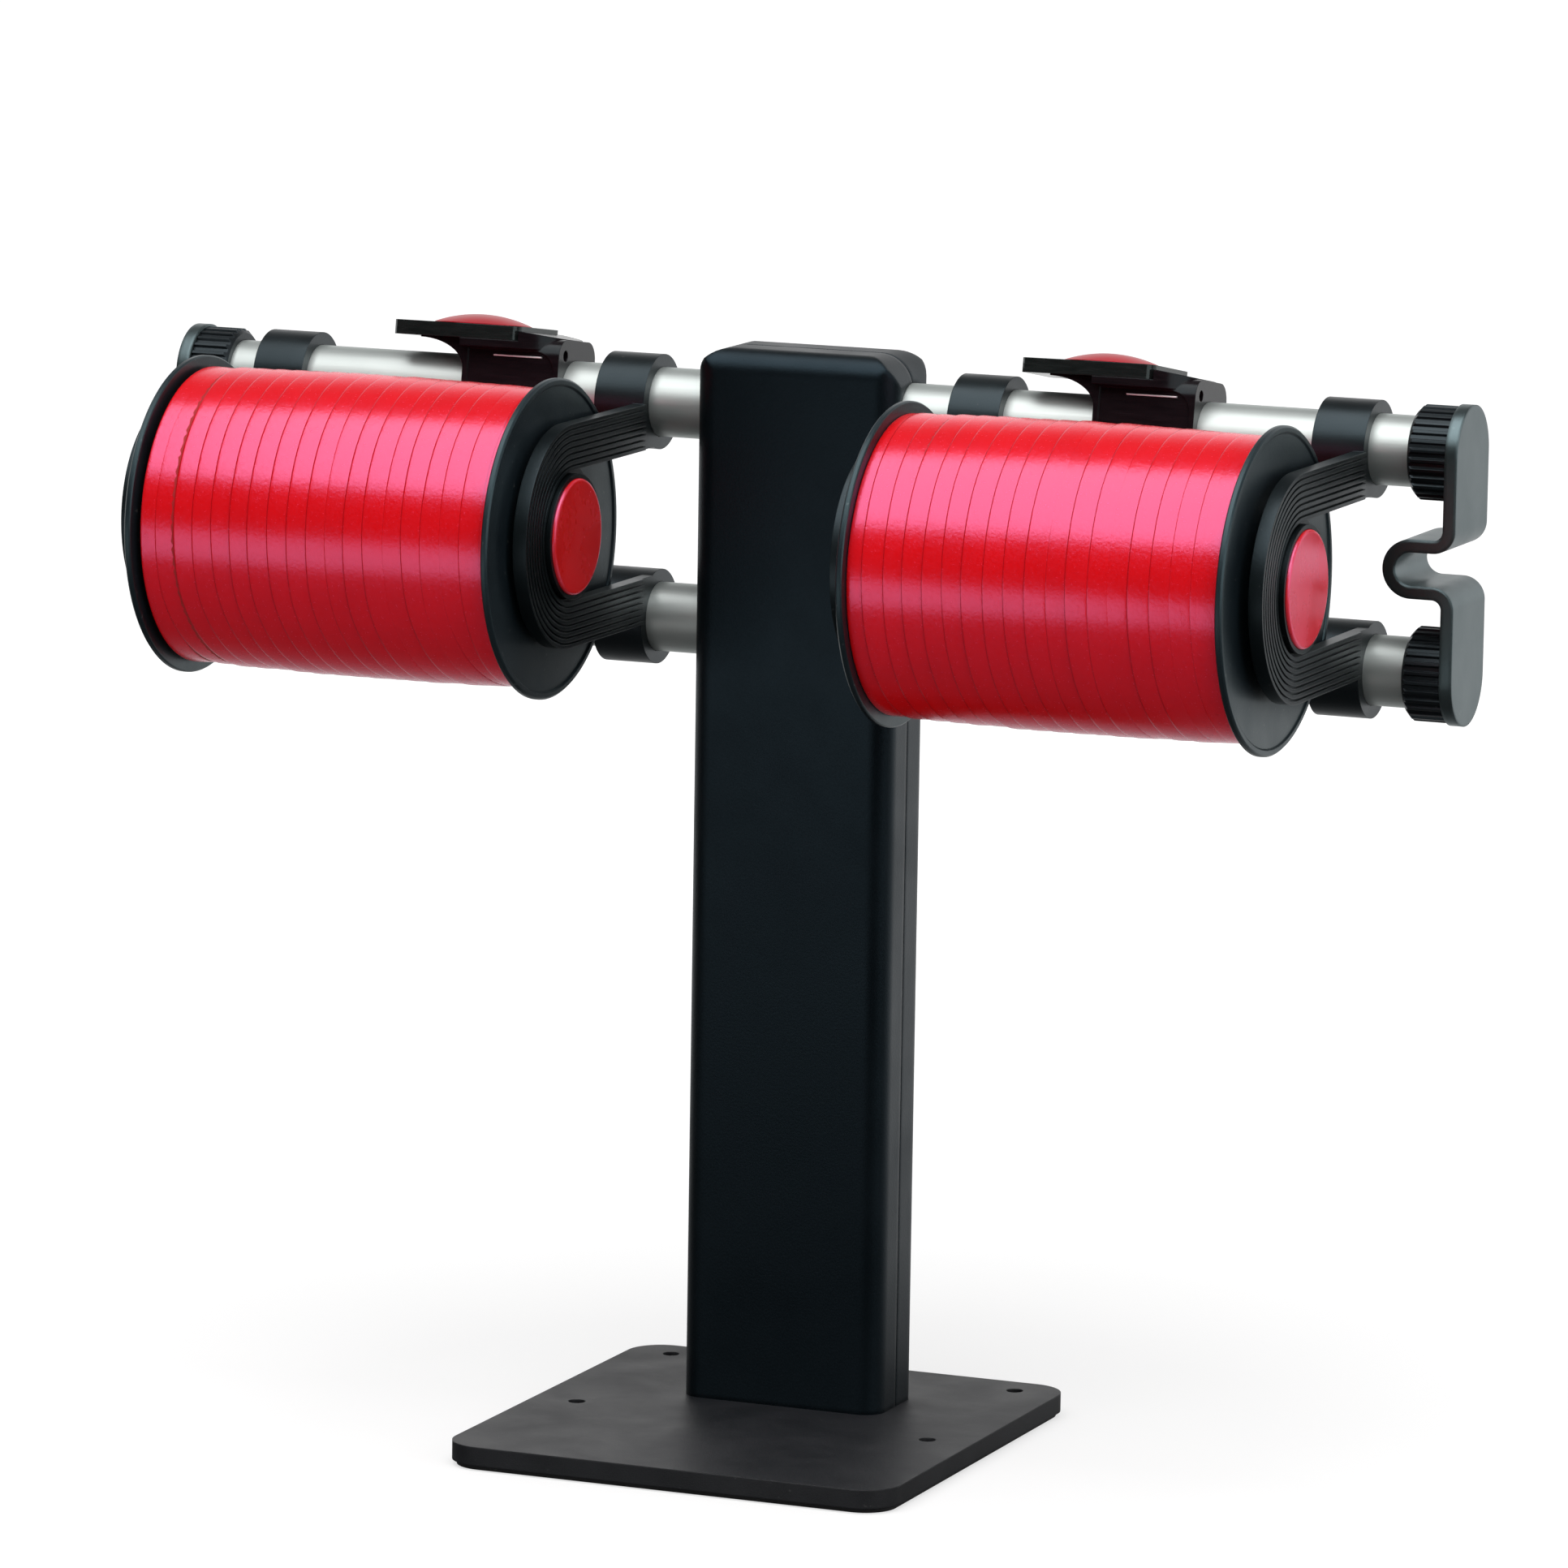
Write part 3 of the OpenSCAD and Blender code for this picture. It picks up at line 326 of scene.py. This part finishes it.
def metal_finish(name, bright, dim, dull, stretch, depth, metal=1.0, edge=0.0003):
    """Bare or anodised metal: close tones, drawn lines in relief and roughness, softened edges."""
    made, tree, shader = start_finish(name)
    drawn = add(tree, "ShaderNodeGroup", {"Stretch": stretch}, node_tree=drawn_lines).outputs
    tone = blend(tree, drawn["Tarnish"], (*bright, 1.0), (*dim, 1.0))
    rough = sums(tree, "MULTIPLY_ADD", drawn["Lines"], line_swing, dull - line_swing / 2.0)
    tree.links.new(tone, shader.inputs["Base Color"])
    tree.links.new(rough, shader.inputs["Roughness"])
    relieve(tree, shader, drawn["Lines"], depth, edge)
    shader.inputs["Metallic"].default_value = metal
    return made


screw_steel = metal_finish("screw_steel", bright=(0.56, 0.57, 0.58), dim=(0.46, 0.47, 0.48),
    dull=0.32, stretch=(900.0, 900.0, 60.0), depth=0.00002)
column_steel = metal_finish("column_steel", bright=(0.38, 0.39, 0.41), dim=(0.30, 0.31, 0.32),
    dull=0.45, stretch=(900.0, 900.0, 25.0), depth=0.00003)
head_casting = metal_finish("head_casting", bright=(0.52, 0.53, 0.54), dim=(0.44, 0.45, 0.46),
    dull=0.52, stretch=(420.0, 420.0, 420.0), depth=0.00008)
dress(column_steel, "column")
dress(head_casting, "rail_head")
dress(screw_steel, "foot_screws", "head_screws", "rail_clamp_screws")


# ---- Post shells ----------------------------------------------------------------------------
# Two black shells with a fine spark-eroded grain meet in a seam down both sides and hide the column.
# Six blackened screws hold the rear shell to bosses in the front one.
post_grain = skin_finish("post_grain", dark=(0.0014, 0.0021, 0.0027), lit=(0.0020, 0.0029, 0.0037),
    dull=0.40, grain=1300.0, depth=0.00005, cloud=30.0, edge=0.0024, dust=0.0,
    gloss=(0.52, 0.80, 1.0), index=1.40)
black_screw = metal_finish("black_screw", bright=(0.05, 0.05, 0.055), dim=(0.035, 0.035, 0.04),
    dull=0.40, stretch=(900.0, 60.0, 900.0), depth=0.00002)
dress(post_grain, "front_shell", "rear_shell")
dress(black_screw, "shell_screws")


# ---- Rails ----------------------------------------------------------------------------------
# Two drawn aluminium tubes, satin anodised and 22 mm across, run through the post from one end plate
# to the other. Their drawn lines run along them.
satin_rail = metal_finish("satin_rail", bright=(0.56, 0.60, 0.585), dim=(0.52, 0.56, 0.545),
    dull=0.47, stretch=(14.0, 1300.0, 1300.0), depth=0.000012, metal=0.85)
dress(satin_rail, "upper_rail", "lower_rail")


# ---- End plates -----------------------------------------------------------------------------
# Each end plate is one flat steel band, bent inwards into a loop between the rails, painted dark grey
# with a satin finish, and plugged into both rail ends.
plate_paint = skin_finish("plate_paint", dark=(0.0075, 0.0092, 0.0088), lit=(0.0105, 0.0128, 0.0120),
    dull=0.34, grain=1100.0, depth=0.000022, edge=0.0016, gloss=(0.70, 0.94, 1.0), index=2.20)
dress(plate_paint, "end_plate_right", "end_plate_left")


# ---- Grip rings -----------------------------------------------------------------------------
# Four fluted black rings turn on the rail ends against the end plates. Their flutes are in the
# CAD model, so they have only a finish here.
ring_black = skin_finish("ring_black", dark=(0.0020, 0.0023, 0.0028), lit=(0.0030, 0.0034, 0.0040),
    dull=0.36, grain=1600.0, depth=0.00003, edge=0.0003, gloss=(0.72, 0.90, 1.0))
for side in ("right", "left"):
    dress(ring_black, f"grip_ring_{side}_upper", f"grip_ring_{side}_lower")


# ---- Reel brackets and hubs -----------------------------------------------------------------
# Each bracket is one black moulding: two collars that slide on the rails, a ribbed C-shaped band and a
# hub ring. A stub, held by a screw through the hub, carries the reel, and a red cap clips over the screw.
bracket_black = skin_finish("bracket_black", dark=(0.0022, 0.0032, 0.0036), lit=(0.0032, 0.0046, 0.0050),
    dull=0.36, grain=1300.0, depth=0.000028, edge=0.00035, gloss=(0.68, 0.89, 1.0), index=1.50)
stub_black = skin_finish("stub_black", dark=(0.010, 0.010, 0.011), lit=(0.014, 0.014, 0.015),
    dull=0.45, grain=1300.0, depth=0.00003)
cap_red = skin_finish("cap_red", dark=(0.78, 0.0060, 0.0012), lit=(0.86, 0.0080, 0.0018),
    dull=0.27, grain=900.0, depth=0.00002, cloud=60.0, edge=0.0006, dust=0.0,
    gloss=(1.0, 0.48, 0.95), index=2.60)
for side in ("right", "left"):
    for way in ("outer", "inner"):
        dress(bracket_black, f"bracket_{side}_{way}")
        dress(stub_black, f"hub_stub_{side}_{way}")
        dress(screw_steel, f"hub_screw_{side}_{way}")
        dress(cap_red, f"hub_cap_{side}_{way}")


# ---- Reels ----------------------------------------------------------------------------------
# Each reel is a charcoal moulding: a hollow core with two thin flanges, each with a raised rim. It
# hangs by its bore on the stubs of its two brackets.
reel_charcoal = skin_finish("reel_charcoal", dark=(0.0050, 0.0080, 0.0110), lit=(0.0070, 0.0108, 0.0145),
    dull=0.38, grain=1500.0, depth=0.00003, edge=0.0005, dust=0.1, gloss=(0.62, 0.92, 1.0), index=1.62)
dress(reel_charcoal, "reel_right", "reel_left")


# ---- Wound ribbon ---------------------------------------------------------------------------
# Red curling ribbon, 7.3 mm wide, is wound side by side in layers that just overlap. The pack under it
# is turned, a little fuller in the middle, and the last layer is one ribbon from flange to flange.
ribbon_width = 0.0073
ribbon_pitch = 0.00662
ribbon_thickness = 0.00036
ribbon_lap = 0.00030
ribbon_wander = 0.00042
ribbon_unevenness = 0.0007
drift_rate = 1.7
unevenness_rate = 0.9
unevenness_seed = 40.0
slant_side = 0.35
slant_sharpness = 1.5
band_corners = 16
band_edge_roundness = 0.45
band_face_roundness = 0.7
# Painted shade: the dark red laid along each ribbon edge, where the turns meet.
ribbon_edge_shade = (0.24, 0.001, 0.002, 1.0)
steps_in_turn = 80
held_turns = 2
pack_radius = 0.0462
pack_crown = 0.0009
pack_bore = 0.01722
pack_under_ribbon = 0.0002
pack_sides = 120
crown_steps = 12
sharp_corner = math.radians(35.0)
rings_per_metre = 2600.0
reel_axis_y = -0.072
reel_axis_z = 0.2887
right_reel_x = 0.11985
left_reel_x = -0.11845
pack_reach = 0.05945
left_pack_short_reach = 0.05765
packs = {
    "right": {"low": right_reel_x - pack_reach, "high": right_reel_x + pack_reach,
        "seed": 3.0, "slant": 0.0015},
    "left": {"low": left_reel_x - left_pack_short_reach, "high": left_reel_x + pack_reach,
        "seed": 11.0, "slant": 0.0055}}


def ribbon_finish():
    """Satin ribbon: saturated red, a fine unevenness in its gloss, and painted shade along its two edges,
    where one turn laps over the next.
    """
    made, tree, shader = start_finish("red_ribbon")
    place = add(tree, "ShaderNodeTexCoord").outputs["Object"]
    across = add(tree, "ShaderNodeAttribute", attribute_name="across").outputs["Fac"]
    # Painted shade: a mask along both edges of the band darkens the red by half, for the shade where one turn
    # meets the next.
    rim = spread(tree, sums(tree, "ABSOLUTE", across), low=0.43, high=0.5, at_low=0.0, at_high=1.0)
    slow = noise(tree, place, 60.0, detail=3.0)
    fine = noise(tree, place, 1000.0, detail=2.0, roughness=0.6)
    body = blend(tree, slow, (0.70, 0.0016, 0.0012, 1.0), (0.84, 0.0022, 0.0020, 1.0))
    edge_shaded = blend(tree, times(tree, rim, 0.5), body, ribbon_edge_shade)
    tree.links.new(edge_shaded, shader.inputs["Base Color"])
    tree.links.new(sums(tree, "MULTIPLY_ADD", fine, 0.24, 0.11), shader.inputs["Roughness"])
    relieve(tree, shader, fine, depth=0.000045)
    shader.inputs["IOR"].default_value = 1.85
    shader.inputs["Specular IOR Level"].default_value = 0.70
    shader.inputs["Specular Tint"].default_value = (1.0, 0.44, 0.92, 1.0)
    return made


def line_noise(tree, along, detail):
    """Noise along one line, from 0 to 1; its answer is a socket."""
    feeds = {"W": along, "Scale": 1.0, "Detail": detail}
    return add(tree, "ShaderNodeTexNoise", feeds, noise_dimensions="1D").outputs[0]


def pack_finish():
    """The pack's end and the core under the ribbon: hundreds of ribbon edges seen side on, as fine rings, in a
    red darker than the ribbon's as painted shade.
    """
    made, tree, shader = start_finish("ribbon_pack")
    spot = split(tree, "Object")
    y = minus(tree, spot["Y"], reel_axis_y)
    z = minus(tree, spot["Z"], reel_axis_z)
    out = sums(tree, "SQRT", plus(tree, times(tree, y, y), times(tree, z, z)))
    rings = line_noise(tree, times(tree, out, rings_per_metre), detail=2.0)
    # Both ring tones are darker than the ribbon's red: painted shade on the pack's end and core; the rings
    # themselves stand for the ribbon edges.
    tone = blend(tree, rings, (0.22, 0.001, 0.002, 1.0), (0.55, 0.002, 0.004, 1.0))
    tree.links.new(tone, shader.inputs["Base Color"])
    tree.links.new(sums(tree, "MULTIPLY_ADD", rings, 0.2, 0.45), shader.inputs["Roughness"])
    relieve(tree, shader, rings, depth=0.00008)
    return made


red_ribbon = ribbon_finish()
ribbon_pack = pack_finish()


def rounded(tree, value, power):
    """A signed value raised to a power, which squares a circle's outline; its answer is a socket."""
    size = sums(tree, "POWER", sums(tree, "ABSOLUTE", value), power)
    return times(tree, sums(tree, "SIGN", value), size)


def winding_tree():
    """Geometry Nodes: one flat ribbon wound on a crowned pack, with a drifting path and a lapped edge."""
    made = bpy.data.node_groups.new("ribbon_winding", "GeometryNodeTree")
    made.interface.new_socket(name="Geometry", in_out="OUTPUT", socket_type="NodeSocketGeometry")
    sizes = {
        "Turns": ("Int", 19), "Steps": ("Int", 80), "Pitch": ("Float", 0.0066), "Reach": ("Float", 0.112),
        "Radius": ("Float", 0.0462), "Crown": ("Float", 0.001), "Width": ("Float", 0.007),
        "Thickness": ("Float", 0.0004), "Lap": ("Float", 0.0003), "Wander": ("Float", 0.0005),
        "Slant": ("Float", 0.002), "Seed": ("Float", 0.0), "Centre": ("Vector", (0.0, 0.0, 0.0))}
    for name, (kind, start) in sizes.items():
        socket = made.interface.new_socket(name=name, in_out="INPUT", socket_type="NodeSocket" + kind)
        socket.default_value = start
    given = add(made, "NodeGroupInput").outputs

    # The path: along the reel by one pitch a turn, held for the first and the last turn.
    count = plus(made, times(made, given["Turns"], given["Steps"]), 1.0)
    line = add(made, "GeometryNodeMeshLine", {"Count": count})
    path = add(made, "GeometryNodeMeshToCurve", {0: line.outputs[0]})
    turn = sums(made, "DIVIDE", add(made, "GeometryNodeInputIndex").outputs[0], given["Steps"])
    angle = times(made, turn, 2.0 * math.pi)
    climb = sums(made, "MAXIMUM", times(made, minus(made, turn, 1.0), given["Pitch"]), 0.0)
    along = sums(made, "MINIMUM", climb, given["Reach"])

    # It strays a little, and runs slanted under the pack, but not at the flanges.
    drift = line_noise(made, plus(made, times(made, turn, drift_rate), given["Seed"]), detail=1.0)
    second_seed = plus(made, given["Seed"], unevenness_seed)
    uneven = line_noise(made, plus(made, times(made, turn, unevenness_rate), second_seed), detail=1.0)
    spare = sums(made, "MINIMUM", along, minus(made, given["Reach"], along))
    free = sums(made, "MINIMUM", sums(made, "DIVIDE", spare, given["Pitch"]), 1.0)
    strayed = times(made, minus(made, drift, 0.5), times(made, given["Wander"], 4.0))
    facing = sums(made, "MAXIMUM", sums(made, "COSINE", minus(made, angle, slant_side)), 0.0)
    slanted = times(made, sums(made, "POWER", facing, slant_sharpness), given["Slant"])
    aside = plus(made, times(made, strayed, free), times(made, slanted, free))

    # The pack is fuller in the middle, and each turn lies a little higher or lower.
    middle = minus(made, along, times(made, given["Reach"], 0.5))
    share = sums(made, "DIVIDE", times(made, middle, 2.0), given["Reach"])
    crown = times(made, given["Crown"], minus(made, 1.0, times(made, share, share)))
    height = times(made, minus(made, uneven, 0.5), ribbon_unevenness)
    rise = plus(made, plus(made, given["Radius"], crown), height)
    spot = add(made, "ShaderNodeCombineXYZ", {
        0: times(made, rise, sums(made, "COSINE", angle)),
        1: times(made, rise, sums(made, "SINE", angle)),
        2: plus(made, middle, aside)})
    laid = add(made, "GeometryNodeSetPosition", {"Geometry": path.outputs[0], "Position": spot.outputs[0]})
    upright = add(made, "GeometryNodeSetCurveNormal", {"Curve": laid.outputs[0]}, mode="Z_UP")

    # The band: a circle squared into a flat section with round edges, tilted so that one edge laps over.
    ring = add(made, "GeometryNodeCurvePrimitiveCircle", {"Resolution": band_corners, "Radius": 1.0})
    corner = add(made, "GeometryNodeInputPosition").outputs[0]
    point = add(made, "ShaderNodeSeparateXYZ", {0: corner}).outputs
    half = times(made, rounded(made, point["X"], band_edge_roundness), 0.5)
    outward = times(made, rounded(made, point["Y"], band_face_roundness), times(made, given["Thickness"], 0.5))
    tilt = plus(made, outward, times(made, half, given["Lap"]))
    flat = add(made, "ShaderNodeCombineXYZ", {0: tilt, 1: times(made, half, given["Width"]), 2: 0.0})
    noted = add(made, "GeometryNodeStoreNamedAttribute",
        {"Geometry": ring.outputs[0], "Name": "across", "Value": half}, data_type="FLOAT", domain="POINT")
    band = add(made, "GeometryNodeSetPosition", {"Geometry": noted.outputs[0], "Position": flat.outputs[0]})
    swept = add(made, "GeometryNodeCurveToMesh",
        {"Curve": upright.outputs[0], "Profile Curve": band.outputs[0], "Fill Caps": True})
    quarter_turn = (0.0, math.radians(90.0), 0.0)
    turned = add(made, "GeometryNodeTransform",
        {"Geometry": swept.outputs[0], "Translation": given["Centre"], "Rotation": quarter_turn})
    smooth = add(made, "GeometryNodeSetShadeSmooth", {0: turned.outputs[0]})
    plain = add(made, "GeometryNodeRealizeInstances", {0: smooth.outputs[0]})
    dyed = add(made, "GeometryNodeSetMaterial", {"Geometry": plain.outputs[0], "Material": red_ribbon})
    add(made, "NodeGroupOutput", {0: dyed.outputs[0]})
    return made


ribbon_winding = winding_tree()


def grown(name, tree, sizes):
    """A plain mesh grown by a Geometry Nodes tree from its named sizes."""
    seed_object = bpy.data.objects.new(name + "_seed", bpy.data.meshes.new(name + "_seed"))
    bpy.context.scene.collection.objects.link(seed_object)
    modifier = seed_object.modifiers.new("grow", "NODES")
    modifier.node_group = tree
    for item in tree.interface.items_tree:
        if item.item_type == "SOCKET" and item.in_out == "INPUT" and item.name in sizes:
            modifier[item.identifier] = sizes[item.name]
    evaluated = seed_object.evaluated_get(bpy.context.evaluated_depsgraph_get())
    mesh = bpy.data.meshes.new_from_object(evaluated)
    bpy.data.objects.remove(seed_object)
    mesh.name = name
    made = bpy.data.objects.new(name, mesh)
    bpy.context.scene.collection.objects.link(made)
    return made


def turned_ring(name, outline, sides, centre_y, centre_z, finish):
    """A closed outline of (x, radius) points turned round an axis along X."""
    corners, faces = [], []
    for i in range(sides):
        angle = 2.0 * math.pi * i / sides
        for x, radius in outline:
            corners.append((x, centre_y + radius * math.cos(angle), centre_z + radius * math.sin(angle)))
    count = len(outline)
    for i in range(sides):
        a = i * count
        b = (i + 1) % sides * count
        for k in range(count):
            after = (k + 1) % count
            faces.append((a + k, a + after, b + after, b + k))
    mesh = bpy.data.meshes.new(name)
    mesh.from_pydata(corners, [], faces)
    mesh.materials.append(finish)
    for face in mesh.polygons:
        face.use_smooth = True
    mesh.set_sharp_from_angle(angle=sharp_corner)
    made = bpy.data.objects.new(name, mesh)
    bpy.context.scene.collection.objects.link(made)
    return made


for side, pack in packs.items():
    middle_x = (pack["low"] + pack["high"]) / 2.0
    half_pack = (pack["high"] - pack["low"]) / 2.0
    reach = pack["high"] - pack["low"] - ribbon_width
    turns = round(reach / ribbon_pitch) + held_turns
    layer = grown(f"ribbon_layer_{side}", ribbon_winding, {
        "Turns": turns, "Steps": steps_in_turn, "Pitch": reach / (turns - held_turns), "Reach": reach,
        "Radius": pack_radius, "Crown": pack_crown, "Width": ribbon_width, "Thickness": ribbon_thickness,
        "Lap": ribbon_lap, "Wander": ribbon_wander, "Slant": pack["slant"], "Seed": pack["seed"],
        "Centre": (middle_x, reel_axis_y, reel_axis_z)})
    outline = [(pack["low"], pack_bore)]
    for i in range(crown_steps + 1):
        share = 2.0 * i / crown_steps - 1.0
        crown = pack_crown * (1.0 - share * share)
        outline.append((middle_x + share * half_pack, pack_radius - pack_under_ribbon + crown))
    outline.append((pack["high"], pack_bore))
    core = turned_ring(f"ribbon_core_{side}", outline, pack_sides, reel_axis_y, reel_axis_z, ribbon_pack)
    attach(layer, f"reel_{side}")
    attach(core, f"reel_{side}")
    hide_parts(f"ribbon_{side}")


# ---- Cutters --------------------------------------------------------------------------------
# Each cutter is two mouldings in smoked clear plastic, a body that slides on the upper rail and a top
# plate with a tongue, round a steel blade, a red domed button and the coil spring that it presses.
cutter_tilts = {"right": math.radians(10.0), "left": math.radians(8.0)}
flow_stretch = (90.0, 420.0, 900.0)
flow_swing = 0.12
smoked_index = 1.50


def smoked_finish(name, thin, thick, through, dull, gloss):
    """Smoked clear plastic: flow streaks in its tint and a few soft ripples in its gloss."""
    made, tree, shader = start_finish(name)
    place = add(tree, "ShaderNodeTexCoord").outputs["Object"]
    pulled = stretched(tree, place, flow_stretch)
    flow = noise(tree, pulled, 1.0, detail=3.0, distortion=0.6)
    tree.links.new(blend(tree, flow, (*thick, 1.0), (*thin, 1.0)), shader.inputs["Base Color"])
    tree.links.new(sums(tree, "MULTIPLY_ADD", flow, flow_swing, dull), shader.inputs["Roughness"])
    relieve(tree, shader, flow, depth=0.00003, edge=0.0004)
    shader.inputs["Transmission Weight"].default_value = through
    shader.inputs["IOR"].default_value = smoked_index
    shader.inputs["Specular Tint"].default_value = (*gloss, 1.0)
    return made


smoked_body = smoked_finish("smoked_body", thin=(0.014, 0.009, 0.011), thick=(0.003, 0.002, 0.003),
    through=0.10, dull=0.16, gloss=(0.30, 0.38, 0.40))
smoked_top = smoked_finish("smoked_top", thin=(0.022, 0.028, 0.027), thick=(0.002, 0.003, 0.003),
    through=0.12, dull=0.08, gloss=(0.56, 0.68, 0.68))
blade_steel = metal_finish("blade_steel", bright=(0.86, 0.87, 0.88), dim=(0.78, 0.79, 0.80),
    dull=0.55, stretch=(60.0, 1200.0, 1200.0), depth=0.00001, metal=0.6)
button_red = skin_finish("button_red", dark=(0.34, 0.003, 0.010), lit=(0.42, 0.005, 0.014),
    dull=0.34, grain=700.0, depth=0.00001, edge=0.0003, dust=0.0, gloss=(1.0, 0.35, 0.55), index=1.42)
for side, tilt in cutter_tilts.items():
    dress(smoked_body, f"cutter_body_{side}")
    dress(smoked_top, f"cutter_top_{side}")
    dress(blade_steel, f"cutter_blade_{side}")
    dress(screw_steel, f"cutter_spring_{side}")
    dress(button_red, f"cutter_button_{side}")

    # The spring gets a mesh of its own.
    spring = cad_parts[f"cutter_spring_{side}"]
    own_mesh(spring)
